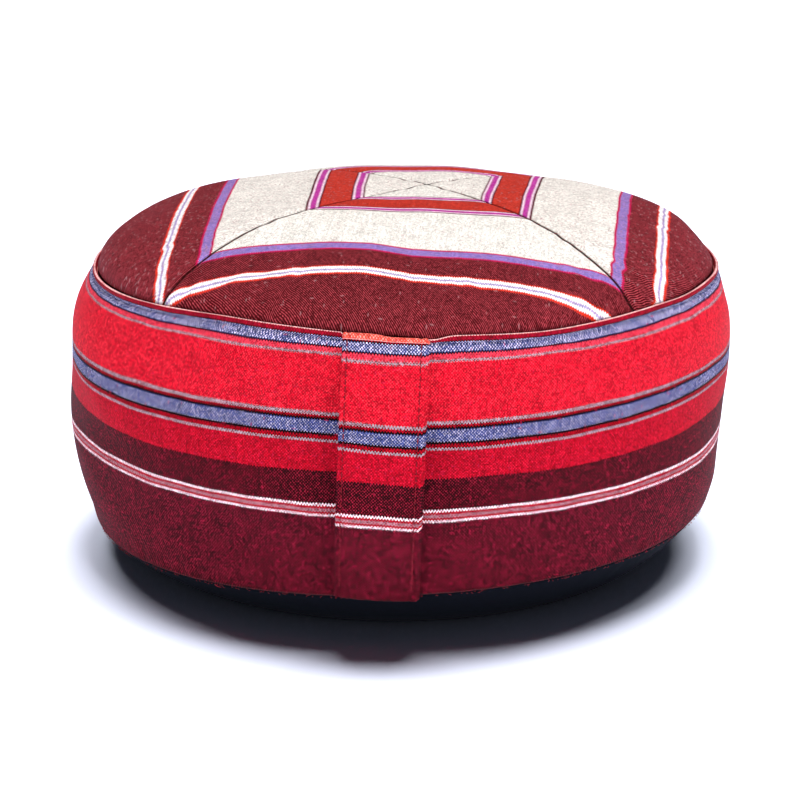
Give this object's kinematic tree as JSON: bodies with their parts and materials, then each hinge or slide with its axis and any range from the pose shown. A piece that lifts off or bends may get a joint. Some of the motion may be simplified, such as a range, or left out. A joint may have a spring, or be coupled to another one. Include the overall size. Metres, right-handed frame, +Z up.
{
  "type": "meditation cushion",
  "caption": "Round drum-shaped floor cushion with a crowned mitred top, a striped bellied side band, a plain flat base and a carrying strap sewn down the front.",
  "frame": {"origin": "middle of the flat base, on the floor", "axes": "+Z up through the crown, -Y towards the carrying strap at the front, +X to the right seen from the front"},
  "size_m": [0.3304, 0.3415, 0.1798],
  "materials": {
    "side_band_cloth": "woven cotton with stripes that run round the side",
    "top_panel_cloth": "woven cotton with cream, rust, maroon, blue and white stripes",
    "base_cloth": "plain dark navy cotton twill",
    "strap_cloth": "folded striped cotton, topstitched along both edges"
  },
  "bodies": {
    "root": {"cushion_body": "side_band_cloth", "top_panel_front": "top_panel_cloth", "top_panel_right": "top_panel_cloth", "top_panel_back": "top_panel_cloth", "top_panel_left": "top_panel_cloth", "base_panel": "base_cloth", "carry_strap": "strap_cloth"}
  },
  "joints": []
}
